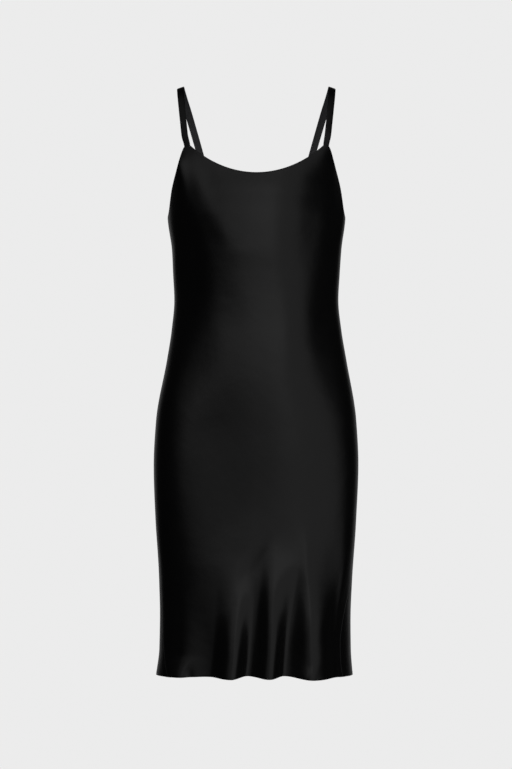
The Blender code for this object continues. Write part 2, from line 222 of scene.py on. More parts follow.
HEM_DROP = 0.15  # a crest's hem hangs lower by this share of how far it stands out
HEM_FRONT = -1.0337  # the heights of the hem before its flutes raise and lower it
HEM_SIDE = -1.037
HEM_BACK = -1.036
print("crests and troughs round the hem:", len(FLUTES))

# %% [markdown]
# At any height we first find where each crest and trough lies and how far it still stands
# out. Then we go once round the body, from each of them to the next, and ease the depth over
# from the one to the other.


# %% How far the flutes push the cloth out
def hem_line(angles):
    """The height of the hem before its flutes raise and lower it."""
    turn = np.radians(angles)
    middle = np.where(np.cos(turn) > 0, HEM_FRONT, HEM_BACK)
    return middle + (HEM_SIDE - middle) * np.sin(turn) ** 2


def flute_depths(angles, heights):
    """How far the flutes push the cloth out of the shell."""
    rise = heights - hem_line(angles)
    lies, stands = [], []
    for flute in FLUTES:
        share = np.clip(rise / flute.rise, 0, 1)
        lies.append(flute.angle + flute.drift * share)
        stands.append(flute.out * (1 - share**FLUTE_HEAD) ** FLUTE_FADE)
    turn = (angles - lies[0]) % 360
    depth = np.zeros_like(turn)
    passed = np.zeros_like(turn)
    for here in range(len(FLUTES)):
        after = (here + 1) % len(FLUTES)
        span = (lies[after] - lies[here]) % 360
        ease = (1 - np.cos(np.pi * np.clip((turn - passed) / span, 0, 1))) / 2
        between = (turn >= passed) & (turn <= passed + span)
        depth = np.where(between, stands[here] + (stands[after] - stands[here]) * ease, depth)
        passed = passed + span
    return depth


def hem_heights(angles):
    return hem_line(angles) - HEM_DROP * flute_depths(angles, hem_line(angles))


front_hem = hem_heights(np.linspace(-90, 90, 181))
print("the front's hem lies between", front_hem.min().round(4), "and", front_hem.max().round(4))

# %% [markdown]
# ## Soft drapes in the body of the dress
#
# Above the flutes the satin isn't stretched tight either. It bridges from the bust in a soft
# ridge, sinks in at the sides of the bust and waist and over the front of the hips, and
# crumples a little at the seams. Each of these is a long swell or hollow: where its middle
# lies, half of its length and of its width, how far it leans from upright, and how far it
# stands forward or in. The large ones are in the frame's solids too, and the small ones that
# are only in the satin follow in a table of their own.

# %% The drapes
Drape = namedtuple("Drape", "angle height half_length half_width lean out")
DRAPES = (
    Drape(-20.3, -0.262, 0.049, 0.022, -31, 0.0015),
    Drape(-10.0, -0.362, 0.069, 0.026, -15, 0.0014),
    Drape(-14.3, -0.493, 0.091, 0.054, 6, 0.0123),
    Drape(61.6, -0.324, 0.250, 0.061, 2, -0.0240),
    Drape(-60.3, -0.933, 0.250, 0.069, -3, -0.0240),
    Drape(-43.2, -0.259, 0.089, 0.030, -4, 0.0094),
    Drape(38.3, -0.229, 0.086, 0.029, 4, -0.0078),
    Drape(27.0, -0.451, 0.120, 0.054, 23, 0.0115),
    Drape(-57.2, -0.310, 0.143, 0.052, 17, -0.0239),
    Drape(-20.0, -0.670, 0.246, 0.080, 0, -0.0233),
    Drape(30.2, -0.741, 0.182, 0.080, 50, -0.0126),
    Drape(-4.4, -0.850, 0.061, 0.013, 22, -0.0044),
    Drape(13.4, -0.818, 0.045, 0.020, 11, -0.0032),
    Drape(48.6, -0.833, 0.085, 0.043, 19, -0.0114),
    Drape(-37.5, -0.176, 0.050, 0.017, -21, 0.0037),
    Drape(-57.7, -0.141, 0.059, 0.027, -3, 0.0176),
    Drape(61.7, -0.172, 0.121, 0.043, -8, -0.0240),
)
SMALL_DRAPES = (
    Drape(-34.0, -1.026, 0.014, 0.019, -19, -0.0009),
    Drape(-49.9, -1.042, 0.016, 0.016, 19, 0.0036),
    Drape(-41.0, -1.036, 0.015, 0.007, 0, -0.0046),
    Drape(-12.6, -0.890, 0.067, 0.026, -15, 0.0017),
    Drape(8.2, -0.882, 0.046, 0.021, -1, 0.0017),
    Drape(24.1, -0.923, 0.055, 0.016, -7, -0.0023),
    Drape(39.4, -0.926, 0.067, 0.032, 47, 0.0057),
    Drape(28.5, -1.033, 0.021, 0.009, 35, 0.0043),
    Drape(-7.6, -0.791, 0.050, 0.024, 36, 0.0014),
    Drape(-26.5, -0.927, 0.052, 0.022, -5, 0.0014),
    Drape(11.7, -0.907, 0.033, 0.008, 1, -0.0019),
    Drape(60.0, -0.902, 0.080, 0.009, 11, 0.0035),
    Drape(-64.0, -0.122, 0.030, 0.024, 0, 0.0280),
    Drape(60.0, -0.120, 0.030, 0.022, 0, -0.0200),
    Drape(-62.0, -0.285, 0.070, 0.016, 24, -0.0016),
    Drape(150.0, -0.330, 0.080, 0.020, 18, -0.0018),
    Drape(-150.0, -0.340, 0.075, 0.020, -16, -0.0018),
    Drape(180.0, -0.400, 0.060, 0.030, 0, -0.0020),
)
print("deepest drape in millimetres:", 1000 * max(abs(drape.out) for drape in DRAPES))

# %% [markdown]
# Each drape is a smooth bump, highest in the middle and gone at about twice its half sizes.
# It pushes the cloth straight forward, or straight back behind, so the outline from the front
# stays what the sections and flutes make it. Shell, flutes and drapes together give any point
# of the cloth, and two short steps along the cloth give the way it faces there.

# %% Points of the cloth
BODY_RADIUS = 0.135  # turns an angle round the body into a length
DRAPES_TOP = -0.1066  # the straps hold the cloth at this height
DRAPE_FADE = 0.060  # how far below that the drapes have their full depth


def drape_depths(angles, heights):
    """How far the drapes push the cloth forward, or backward behind, and not at the sides."""
    depth = np.zeros(np.broadcast(angles, heights).shape)
    for drape in DRAPES + SMALL_DRAPES:
        sideways = np.radians((angles - drape.angle + 180) % 360 - 180) * BODY_RADIUS
        up = heights - drape.height
        lean = math.radians(drape.lean)
        along = up * math.cos(lean) + sideways * math.sin(lean)
        across = sideways * math.cos(lean) - up * math.sin(lean)
        far = (along / drape.half_length) ** 2 + (across / drape.half_width) ** 2
        depth += drape.out * np.exp(-far)
    free = np.sin(np.pi / 2 * np.clip((DRAPES_TOP - heights) / DRAPE_FADE, 0, 1))
    return depth * free * np.cos(np.radians(angles))


def cloth_points(angles, heights):
    """Points of the cloth's outer face."""
    flutes = out_of_shell(angles, heights) * flute_depths(angles, heights)[..., None]
    points = shell_points(angles, heights) + flutes
    points[..., 1] -= drape_depths(angles, heights)
    return points


def cloth_run(angles, heights):
    """The step between two points of the cloth, one STEP_ROUND to each side of each angle."""
    return cloth_points(angles + STEP_ROUND, heights) - cloth_points(angles - STEP_ROUND, heights)


def cloth_faces(angles, heights):
    """The directions that the cloth's outer face looks in."""
    up = cloth_points(angles, heights + STEP_UP) - cloth_points(angles, heights - STEP_UP)
    face = np.cross(cloth_run(angles, heights), up)
    return face / np.linalg.norm(face, axis=-1, keepdims=True)


def degrees_for(lengths, angles, heights):
    """How many degrees round the body span those lengths of cloth there."""
    return lengths * 2 * STEP_ROUND / np.linalg.norm(cloth_run(angles, heights), axis=-1)


centre = cloth_points(np.array([0.0]), np.array([WAIST_HEIGHT]))[0]
print("the centre front at the waist:", centre.round(4))

# %% [markdown]
# ## Where the cloth is cut
#
# The front runs from the hem to a scooped neckline between two points, with an armhole
# falling from each point to the underarm. The back is cut nearly straight across. The side
# seams hang straight to the thigh and then swing forward, as seams do when the bias
# stretches more on one side than on the other.

# %% The edges of the panels
NECK_HEIGHT = -0.1575  # at the centre front, where the scoop is lowest
NECK_POWER = 2.05  # a power of 2 would make the scoop a parabola
POINT_HEIGHT = -0.1066
POINT_INNER = 46.6  # the angles of a point's two corners
POINT_OUTER = 52.4
UNDERARM_HEIGHT = -0.2312
Edge = namedtuple("Edge", "angle height")
ARMHOLE = (
    Edge(POINT_INNER, POINT_HEIGHT),
    Edge(51.0, -0.1080),
    Edge(52.6, -0.1104),
    Edge(54.3, -0.1160),
    Edge(57.6, -0.1328),
    Edge(61.0, -0.1501),
    Edge(65.2, -0.1673),
    Edge(69.4, -0.1844),
    Edge(72.8, -0.2016),
    Edge(77.2, -0.2182),
    Edge(83.0, -0.2275),
    Edge(90.0, UNDERARM_HEIGHT),
)
BACK_STRAP_ANGLE = 153.0  # where the straps are sewn to the back
BACK_STRAP_HEIGHT = -0.194
BACK_CENTRE_HEIGHT = -0.208
BACK_CENTRE_POWER = 2.0  # of the back's top edge between the straps
BACK_SIDE_POWER = 1.3  # and from a strap to the underarm
Seam = namedtuple("Seam", "height right left")
SEAMS = (
    Seam(-1.060, -56.0, 65.0),
    Seam(-1.040, -59.3, 63.0),
    Seam(-1.012, -68.0, 61.0),
    Seam(-0.977, -75.3, 61.0),
    Seam(-0.941, -78.5, 64.5),
    Seam(-0.906, -81.0, 71.0),
    Seam(-0.860, -86.0, 86.0),
    Seam(-0.800, -90.0, 90.0),
    Seam(-0.100, -90.0, 90.0),
)
print("depth of the neckline:", round(POINT_HEIGHT - NECK_HEIGHT, 4))

# %% [markdown]
# The neckline rises from its lowest point with a power of the distance across. The armhole is
# read off its table. The back's top edge rises to the straps with one power from the centre
# and another from the underarm.


# %% The height of every edge
def front_top(angles):
    """The height of the front's top edge: neckline, then armhole."""
    turn = np.abs(angles)
    neck = np.full_like(turn, NECK_HEIGHT)
    ends = shell_points(np.array([POINT_INNER]), np.array([NECK_HEIGHT]))[0, 0]
    across = shell_points(np.minimum(turn, POINT_INNER), neck)[..., 0] / ends
    scoop = NECK_HEIGHT + (POINT_HEIGHT - NECK_HEIGHT) * across**NECK_POWER
    return np.where(turn <= POINT_INNER, scoop, read_table(ARMHOLE, turn)[0])


def back_top(angles):
    """The height of the back's top edge, highest where the straps are sewn on."""
    turn = np.abs((angles + 180) % 360 - 180)
    share = (180 - turn) / (180 - BACK_STRAP_ANGLE)
    rise = (BACK_STRAP_HEIGHT - BACK_CENTRE_HEIGHT) * share**BACK_CENTRE_POWER
    middle = BACK_CENTRE_HEIGHT + rise
    share = np.maximum(turn - 90, 0) / (BACK_STRAP_ANGLE - 90)
    side = UNDERARM_HEIGHT + (BACK_STRAP_HEIGHT - UNDERARM_HEIGHT) * share**BACK_SIDE_POWER
    return np.where(turn >= BACK_STRAP_ANGLE, middle, side)


def right_seam(heights):
    return read_table(SEAMS, heights)[0]


def left_seam(heights):
    return read_table(SEAMS, heights)[1]


def right_seam_from_behind(heights):
    return right_seam(heights) + 360


print("seams at the hem, in degrees:", read_table(SEAMS, np.array([HEM_SIDE]))[:, 0].round(1))

# %% [markdown]
# ## Turning an edge
#
# No edge of the real dress is raw. At the hem and the neckline the satin rolls over to the
# inside and is stitched down, and at a side seam each panel turns under by its allowance.
# A turned edge is what makes cloth look like cloth, because the roll catches the light.
#
# We get all of them from one flat grid. Its outermost lines follow a half circle and then run
# back up inside, so they carry a distance from the edge and a depth behind the face.

# %% The lines of a turned edge
Turn = namedtuple("Turn", "radius back")  # back is how far it runs back up inside
HEM_TURN = Turn(0.00045, 0.0060)
TOP_TURN = Turn(0.00040, 0.0055)
SEAM_TURN = Turn(0.00035, 0.0080)
ROLL_STEPS = 4  # how many lines go round the roll
BACK_STEPS = 2  # and how many run back inside


def turned_lines(turn):
    """Distance from the edge and depth behind the face of each line, inmost line first."""
    back = np.linspace(turn.back, turn.radius, BACK_STEPS + 1)[:-1]
    lines = [(distance, 2 * turn.radius) for distance in back]
    for angle in np.linspace(np.pi, 0, ROLL_STEPS + 1):
        lines.append((turn.radius * (1 - math.sin(angle)), turn.radius * (1 - math.cos(angle))))
    return np.array(lines)


print("lines of the hem's turn, in millimetres:\n", (turned_lines(HEM_TURN) * 1000).round(2))

# %% [markdown]
# ## Making a panel
#
# The flat grid comes from one bmesh operator. Each of its points is then moved to where its
# column and row say: the columns share out the way from one seam to the other, and the rows
# share out the way from the hem to the top edge. Because a seam swings with height, and the
# hem's height with the angle, the two are found together in a few rounds. At a side seam the
# two panels' rolls touch along a line, as sewn edges do, so no light comes through.


# %% Share out the columns and the rows
def spread(stops, counts):
    """Evenly spaced values through each stop in turn, with that many steps between stops."""
    values = [np.asarray(stops[0], float)[None]]
    for start, end, steps in zip(stops, stops[1:], counts):
        shares = np.linspace(0, 1, steps + 1)[1:]
        values.append(start + np.multiply.outer(shares, np.asarray(end) - start))
    return np.concatenate(values)


FLUTES_TOP = -0.770  # above this height the panels hang smooth
BODY_TOP = -0.275  # above this height the rows fan out to the top edges
ROWS = (80, 90, 46)  # rows in the flutes, the body and the fan
SETTLE_ROUNDS = 5  # a point's angle and height depend on each other, and settle in this many
print("rows between the hem and the neckline:", sum(ROWS))

# %% [markdown]
# A turned edge adds columns along each seam and rows along the hem and the top edge. The
# columns' distances are measured on the cloth, so a roll is as wide on a flute as beside it.


# %% Lay a panel's lines on the cloth
def add_turned_rows(angles, heights, hem, top):
    """The same lines with the rows of the turned hem and top edge below and above them."""
    below = heights[0] - HEM_TURN.radius + hem[:-1, :1]
    over = heights[-1] + TOP_TURN.radius - top[-2::-1, :1]
    behind = np.concatenate([hem[:-1, 1], np.zeros(len(heights)), top[-2::-1, 1]])
    heights = np.concatenate([below, heights, over])
    first = np.repeat(angles[:1], len(hem) - 1, axis=0)
    last = np.repeat(angles[-1:], len(top) - 1, axis=0)
    return np.concatenate([first, angles, last]), heights, behind[:, None]


def panel_lines(shares, first_seam, second_seam, top_edge):
    """The panel's outer points, depths and all, as an array of rows by columns."""
    seam, hem, top = (turned_lines(turn) for turn in (SEAM_TURN, HEM_TURN, TOP_TURN))
    columns = len(shares) + 2 * (len(seam) - 1)
    rows = 1 + sum(ROWS)
    share = np.concatenate([np.zeros(len(seam) - 1), shares, np.ones(len(seam) - 1)])
    in_from_first = np.zeros(columns)
    in_from_second = np.zeros(columns)
    in_from_first[: len(seam)] = seam[:, 0]
    in_from_second[-len(seam) :] = seam[::-1, 0]
    behind_seam = np.zeros(columns)
    behind_seam[: len(seam)] = seam[:, 1]
    behind_seam[-len(seam) :] = seam[::-1, 1]

    heights = np.full((rows, columns), HEM_SIDE)
    for _ in range(SETTLE_ROUNDS):
        angles = first_seam(heights) + (second_seam(heights) - first_seam(heights)) * share
        angles = angles + degrees_for(in_from_first - in_from_second, angles, heights)
        bottom = hem_heights(angles[0]) + HEM_TURN.radius
        above = top_edge(angles[-1]) - TOP_TURN.radius
        middle = np.full(columns, FLUTES_TOP), np.full(columns, BODY_TOP)
        heights = spread((bottom, *middle, above), ROWS)

    angles, heights, behind = add_turned_rows(angles, heights, hem, top)
    points = cloth_points(angles, heights)
    return points - cloth_faces(angles, heights) * (behind + behind_seam)[..., None]


print("extra lines at each seam:", len(turned_lines(SEAM_TURN)) - 1)

# %% [markdown]
# A weave needs to know where it is on the flat cloth, so each panel gets a UV map in metres:
# the distance along each row from the panel's middle, and the distance up each column. The
# wall then comes from a Solidify modifier, which gives the roll its inside as well.

# %% Turn the lines into a piece of cloth
CLOTH_WALL = 0.00028


def along_lines(points, axis):
    """The distance along each line of points, counted from its middle."""
    steps = np.linalg.norm(np.diff(points, axis=axis), axis=-1)
    far = np.cumsum(steps, axis=axis)
    far = np.concatenate([np.zeros_like(far.take([0], axis=axis)), far], axis=axis)
    return far - far.take([far.shape[axis] // 2], axis=axis)


def piece_from(name, shape):
    """A smooth piece of the scene, made from a bmesh."""
    mesh = bpy.data.meshes.new(name)
    shape.to_mesh(mesh)
    shape.free()
    mesh.shade_smooth()
    piece = bpy.data.objects.new(name, mesh)
    bpy.context.scene.collection.objects.link(piece)
    return piece


def sheet_of(name, points):
    """A sheet whose grid follows the array of points, with a UV map in metres and a wall."""
    rows, columns = points.shape[:2]
    grid = bmesh.new()
    bmesh.ops.create_grid(grid, x_segments=columns - 1, y_segments=rows - 1, size=1.0)
    flat = grid.loops.layers.uv.new("cloth")
    across, up = along_lines(points, 1), along_lines(points, 0)
    for vertex in grid.verts:
        column = round((vertex.co.x + 1) / 2 * (columns - 1))
        row = round((vertex.co.y + 1) / 2 * (rows - 1))
        for loop in vertex.link_loops:
            loop[flat].uv = (across[row, column], up[row, column])
        vertex.co = points[row, column]
    piece = piece_from(name, grid)
    wall = piece.modifiers.new("wall", "SOLIDIFY")
    wall.thickness = CLOTH_WALL
    wall.offset = -1.0  # behind the face
    return piece


print("wall of the cloth in millimetres:", round(CLOTH_WALL * 1000, 2))

# %% [markdown]
# ## The front and the back
#
# Each panel has more columns where its top edge turns sharply, round the points under the
# straps. The back goes on round from the wearer's left seam to their right one, so its second
# seam is a full turn further on.

# %% Cut the front and the back
STEEP_ANGLE = 62.0  # an armhole is steep from here to its point
FRONT_COLUMNS = (16, 12, 6, 92, 6, 12, 16)  # seam, steep part, point, neckline and back again
BACK_COLUMNS = (44, 64, 44)  # seam to strap, strap to strap and strap to seam


def make_front():
    corners = [(90 - angle) / 180 for angle in (90, STEEP_ANGLE, POINT_OUTER, POINT_INNER)]
    stops = corners + [1 - corner for corner in reversed(corners)]
    shares = spread(stops, FRONT_COLUMNS)
    lines = panel_lines(shares, right_seam, left_seam, front_top)
    return sheet_of("front_satin", lines)


def make_back():
    strap = (BACK_STRAP_ANGLE - 90) / 180
    shares = spread((0.0, strap, 1 - strap, 1.0), BACK_COLUMNS)
    lines = panel_lines(shares, left_seam, right_seam_from_behind, back_top)
    return sheet_of("back_satin", lines)


def area_of(piece):
    return sum(face.area for face in piece.data.polygons)


front = make_front()
back = make_back()
for panel in (front, back):
    print(panel.name, "is", round(area_of(panel), 3), "square metres with its turnings")

# %% [markdown]
# ## The straps
#
# Each strap is a narrow tube of satin, turned and pressed flat. Its face on the shoulder is painted
# a lighter grey, a painted reflection of the light in front of the dress. Its section is a flat
# oval with soft edges. We start from a circle of points, extrude it along the route, and press each
# ring into the flat oval. The route runs up from inside the front point, over the shoulder and down
# inside the back.

# %% The straps' route
STRAP_WIDTH = 0.0130
STRAP_THICK = 0.0012
STRAP_TUCK = 0.018  # how much of each end is sewn down inside a panel
FRONT_TUCK_START = 0.004  # how far below a panel's top edge its tucked end starts
BACK_TUCK_START = 0.002
STRAP_SEAT = 0.0024  # from a panel's face to the middle of a tucked end
StrapPoint = namedtuple("StrapPoint", "out depth height")
STRAP_PATH = (
    StrapPoint(0.1250, -0.0560, -0.0900),
    StrapPoint(0.1280, -0.0445, -0.0640),
    StrapPoint(0.1311, -0.0300, -0.0350),
    StrapPoint(0.1333, -0.0150, -0.0125),
    StrapPoint(0.1342, 0.0010, -0.0010),
    StrapPoint(0.1339, 0.0070, 0.0000),
    StrapPoint(0.1327, 0.0180, -0.0045),
    StrapPoint(0.1284, 0.0330, -0.0190),
    StrapPoint(0.1229, 0.0450, -0.0360),
    StrapPoint(0.1129, 0.0620, -0.0696),
    StrapPoint(0.1004, 0.0755, -0.1130),
    StrapPoint(0.0890, 0.0820, -0.1530),
)
SHOULDER_CORE_HEIGHT = -0.10  # a strap's face turns away from this height on the body's axis
SHOULDER_SLOPE = 0.25  # how much of the strap's distance out tilts its face outward
print("points on the route over a shoulder:", len(STRAP_PATH))

# %% [markdown]
# A strap is flat, so its route alone doesn't say how it lies. At each place we work out three
# points across it instead: its middle and both edges. Inside a panel they follow the cloth,
# and over the shoulder its face turns away from the body.


# %% Three points across a strap
def tucked(side, angle, heights, across):
    """Three points across a strap where it lies flat inside a panel, for each height.

    The right strap's are mirrored over to the left, where both straps' routes are laid out.
    """
    rows = []
    for height in heights:
        half = across * degrees_for(STRAP_WIDTH / 2, np.array([side * angle]), np.array([height]))
        turns = side * (angle + half * np.array([-1, 0, 1]))
        level = np.full(3, height)
        seat = cloth_points(turns, level) - cloth_faces(turns, level) * STRAP_SEAT
        rows.append(seat * np.array([side, 1, 1]))
    return rows


def over_shoulder(before, point, after):
    """Three points across a strap where it crosses the shoulder."""
    run = after - before
    face = np.array([SHOULDER_SLOPE * point[0], point[1], point[2] - SHOULDER_CORE_HEIGHT])
    across = np.cross(run, face)
    across *= STRAP_WIDTH / 2 / np.linalg.norm(across)
    return np.array([point - across, point, point + across])


def strap_rows(side):
    """A strap as a table: distance along it, then three points across it."""
    drops = np.array([STRAP_TUCK, STRAP_TUCK / 2, 0.0])
    middle = (POINT_INNER + POINT_OUTER) / 2
    start = tucked(side, middle, POINT_HEIGHT - FRONT_TUCK_START - drops, 1)
    end = tucked(side, BACK_STRAP_ANGLE, BACK_STRAP_HEIGHT - BACK_TUCK_START - drops[::-1], -1)
    path = [start[-1][1]] + [np.array(point) for point in STRAP_PATH] + [end[0][1]]
    over = [over_shoulder(*path[k - 1 : k + 2]) for k in range(1, len(path) - 1)]
    threes = np.array(start + over + end)
    steps = np.linalg.norm(np.diff(threes[:, 1], axis=0), axis=-1)
    distances = np.concatenate([[0], np.cumsum(steps)])
    return np.column_stack([distances, threes.reshape(len(threes), 9)])


for side, name in ((1, "left"), (-1, "right")):
    print("length of the", name, "strap in metres:", round(float(strap_rows(side)[-1, 0]), 3))

# %% [markdown]
# Reading those threes as a smooth table gives the strap's middle, its half width and its
# outward direction anywhere along it. A ring of points is then a circle pressed flat, with
# its sides and faces squared off, as an iron leaves it.

# %% Press each ring into a flat oval
RING_POINTS = 20
SQUARE_ACROSS = 0.55  # below 1, a ring's sides are squarer than a circle's
SQUARE_THROUGH = 0.75  # and its faces flatter
STRAP_STEPS = 150
STEP_ALONG = 0.001  # half of the step that measures the strap's direction


def strap_frames(rows, distances):
    """The middle, the half width and the outward direction of the strap at each distance."""
    edges = read_table(rows, distances).T.reshape(-1, 3, 3)
    ahead = read_table(rows, distances + STEP_ALONG).T.reshape(-1, 3, 3)[:, 1]
    behind = read_table(rows, distances - STEP_ALONG).T.reshape(-1, 3, 3)[:, 1]
    half = (edges[:, 2] - edges[:, 0]) / 2
    out = np.cross(half, ahead - behind)
    return edges[:, 1], half, out / np.linalg.norm(out, axis=-1, keepdims=True)


def oval_rings(rows):
    """The strap's surface as an array of rings by points."""
    distances = np.linspace(0, rows[-1, 0], STRAP_STEPS + 1)
    middle, half, out = strap_frames(rows, distances)
    turn = np.linspace(0, 2 * np.pi, RING_POINTS, endpoint=False)
    sideways = signed_power(np.cos(turn), SQUARE_ACROSS)
    thick = signed_power(np.sin(turn), SQUARE_THROUGH) * STRAP_THICK / 2
    points = middle[:, None] + half[:, None] * sideways[None, :, None]
    return points + out[:, None] * thick[None, :, None], distances


print("rings in a strap:", STRAP_STEPS + 1)

# %% [markdown]
# The tube itself starts as a circle and is extruded ring by ring, one on top of the other.
# Every copy still lies on the starting circle, so a point's angle there tells us which point
# of its ring it is, and we can put it in its place.


# %% Extrude the straps
def turn_of(vertex):
    """The angle of a vertex round the starting circle, which an extruded copy still has."""
    return math.atan2(vertex.co.y, vertex.co.x) % (2 * math.pi)


def make_strap(name, side):
    """A strap over one shoulder. side is 1 for the wearer's left and -1 for their right."""
    rings, distances = oval_rings(strap_rows(side))
    rings = rings * np.array([side, 1, 1])
    tube = bmesh.new()
    flat = tube.loops.layers.uv.new("cloth")
    bmesh.ops.create_circle(tube, segments=RING_POINTS, radius=1.0)
    edges = list(tube.edges)
    loop_verts = list(tube.verts)
    where = {}
    for step in range(len(rings)):
        if step:
            made = bmesh.ops.extrude_edge_only(tube, edges=edges)["geom"]
            edges = [item for item in made if isinstance(item, bmesh.types.BMEdge)]
            loop_verts = [item for item in made if isinstance(item, bmesh.types.BMVert)]
        for number, vertex in enumerate(sorted(loop_verts, key=turn_of)):
            where[vertex] = (step, number)
    for vertex, (step, number) in where.items():
        vertex.co = rings[step, number]
    bmesh.ops.holes_fill(tube, edges=[edge for edge in tube.edges if edge.is_boundary])
    bmesh.ops.recalc_face_normals(tube, faces=tube.faces)
    for face in tube.faces:
        for loop in face.loops:
            step, number = where[loop.vert]
            loop[flat].uv = (number / RING_POINTS * 2 * STRAP_WIDTH, distances[step])
    return piece_from(name, tube)


strap_left = make_strap("strap_left_satin", 1)
strap_right = make_strap("strap_right_satin", -1)
print("faces in a strap:", len(strap_left.data.polygons))

# %% [markdown]
# ## Stitches
#
# The hem, the neckline, the armholes and the back's top edge are each held by one line of
# small stitches, black on black. They hardly show, but they catch a little light when one
# comes close. Each stitch is a stretched sphere of a few faces, half sunk into the cloth.

# %% Sew a line of stitches
STITCH_PITCH = 0.0027
STITCH_LENGTH = 0.0021
THREAD_THICK = 0.00028
HEM_STITCH_UP = 0.0048  # from the hem's edge to its stitches
TOP_STITCH_DOWN = 0.0042  # from the top edge to its stitches
STITCH_LIFT = 0.2  # how much of its thickness a stitch's middle stands out of the cloth
STITCH_REACH = STITCH_PITCH / 3  # its direction is measured this far to each side
STITCH_SIDES = 6
STITCH_RINGS = 4


def evenly_along(points, faces):
    """Places, directions and outward faces of stitches spaced evenly along a line."""
    steps = np.linalg.norm(np.diff(points, axis=0), axis=-1)
    far = np.concatenate([[0], np.cumsum(steps)])
    spots = np.arange(STITCH_PITCH, far[-1] - STITCH_PITCH / 2, STITCH_PITCH)

    def at(values, places):
        return np.stack([np.interp(places, far, column) for column in values.T], axis=-1)

    run = at(points, spots + STITCH_REACH) - at(points, spots - STITCH_REACH)
    return at(points, spots), run, at(faces, spots)


def sew(stitches, places, runs, faces):
    """Adds a stitch at each place to the bmesh of stitches."""
    for place, run, face in zip(places, runs, faces):
        along = Vector(run).normalized()
        out = Vector(face)
        out = (out - along * out.dot(along)).normalized()
        axes = Matrix((along, out.cross(along), out)).transposed().to_4x4()
        size = Matrix.Diagonal((STITCH_LENGTH / 2, THREAD_THICK / 2, THREAD_THICK / 2, 1))
        seat = Matrix.Translation(Vector(place) + out * THREAD_THICK * STITCH_LIFT)
        bmesh.ops.create_uvsphere(
            stitches,
            u_segments=STITCH_SIDES,
            v_segments=STITCH_RINGS,
            radius=1.0,
            matrix=seat @ axes @ size,
        )


def make_stitches(name, lines):
    stitches = bmesh.new()
    for line in lines:
        sew(stitches, *line)
    return piece_from(name, stitches)


print("stitches to a metre:", round(1 / STITCH_PITCH))

# %% [markdown]
# A stitch line follows its edge at a set distance. Round the front's points the edge runs
# nearly upright, so there a step down isn't a step in from the edge. We therefore move the
# line square to the edge instead, measured on the cloth.

# %% Lines that follow an edge
LINE_POINTS = 500  # how many places an edge is measured at
SEAM_MARGIN = 0.6  # how many degrees short of a seam a line of stitches ends
POINT_MARGIN = 2.3  # and short of the top of a front point


def line_inside(angles, heights, inward, distance):
    """A line moved into the panel by that distance. inward is 1 to move it to the right of
    its way along the edge, as seen from outside, and -1 to move it to the left."""
    points = cloth_points(angles, heights)
    faces = cloth_faces(angles, heights)
    run = np.gradient(points, axis=0)
    side = np.cross(run, faces) * inward
    side /= np.linalg.norm(side, axis=-1, keepdims=True)
    return evenly_along(points + side * distance, faces)


def edge_angles(start, end):
    return np.linspace(start, end, LINE_POINTS)


def hem_line_inside(first_seam, second_seam):
    angles = edge_angles(first_seam + SEAM_MARGIN, second_seam - SEAM_MARGIN)
    return line_inside(angles, hem_heights(angles), -1, HEM_STITCH_UP)


def front_lines():
    right, left = read_table(SEAMS, np.array([HEM_SIDE]))[:, 0]
    neck = edge_angles(-POINT_INNER + POINT_MARGIN, POINT_INNER - POINT_MARGIN)
    lines = [hem_line_inside(right, left), line_inside(neck, front_top(neck), 1, TOP_STITCH_DOWN)]
    for side in (-1, 1):
        arm = edge_angles(side * (POINT_OUTER + POINT_MARGIN), side * (90 - SEAM_MARGIN))
        lines.append(line_inside(arm, front_top(arm), side, TOP_STITCH_DOWN))
    return lines


def back_lines():
    right, left = read_table(SEAMS, np.array([HEM_SIDE]))[:, 0]
    top = edge_angles(90 + SEAM_MARGIN, 270 - SEAM_MARGIN)
    return [hem_line_inside(left, right + 360), line_inside(top, back_top(top), 1, TOP_STITCH_DOWN)]


front_stitches = make_stitches("front_stitches", front_lines())
back_stitches = make_stitches("back_stitches", back_lines())
print("faces in the front's stitches:", len(front_stitches.data.polygons))

# %% [markdown]
# ## Black satin
#
# Satin is woven so that long threads float over the surface and reflect light together, which
# gives it a soft, liquid sheen. Dyed black it returns almost nothing but that sheen. So the
# colour is nearly black, and the look is all in the roughness and the fine relief: streaks
# along the threads, which run at 45 degrees because the cloth is cut on the bias, and a
# slower unevenness in how closely the weave lies.
#
# A finish is a small network of nodes. A few helpers keep it short: one adds a node with its
# inputs filled in by name, and the others add a sum, a noise and a relief.


# %% Helpers for the finishes
def add(tree, kind, **values):
    """A node of that kind, with its inputs or settings filled in by name."""
    node = tree.nodes.new(kind)
    for name, value in values.items():
        label = name.replace("_", " ")
        if label in node.inputs:
            node.inputs[label].default_value = value
        else:
            setattr(node, name, value)
    return node


def link(tree, source, target):
    tree.links.new(source, target)


def reckon(tree, operation, first, second=None):
    """The result of a sum. The second term is another node's output or a plain number."""
    step = add(tree, "ShaderNodeMath", operation=operation)
    link(tree, first, step.inputs[0])
    if isinstance(second, (int, float)):
        step.inputs[1].default_value = second
    elif second is not None:
        link(tree, second, step.inputs[1])
    return step.outputs["Value"]


Noise = namedtuple("Noise", "Scale Detail Roughness")  # named as the node's inputs are


def noise(tree, kind, place):
    """The value of a noise of that kind at each place."""
    texture = add(tree, "ShaderNodeTexNoise", **kind._asdict())
    link(tree, place, texture.inputs["Vector"])
    return texture.outputs["Fac"]


def relief(tree, height, depth, strength=1.0, under=None):
    """The way a surface with that relief faces, laid over any relief under it."""
    bump = add(tree, "ShaderNodeBump", Strength=strength, Distance=depth)
    link(tree, height, bump.inputs["Height"])
    if under is not None:
        link(tree, under, bump.inputs["Normal"])
    return bump.outputs["Normal"]


def new_finish(name):
    """A new material, its tree of nodes and its shader."""
    material = bpy.data.materials.new(name)
    material.use_nodes = True
    tree = material.node_tree
    return material, tree, tree.nodes["Principled BSDF"]


print("a noise is set by its", ", ".join(Noise._fields))
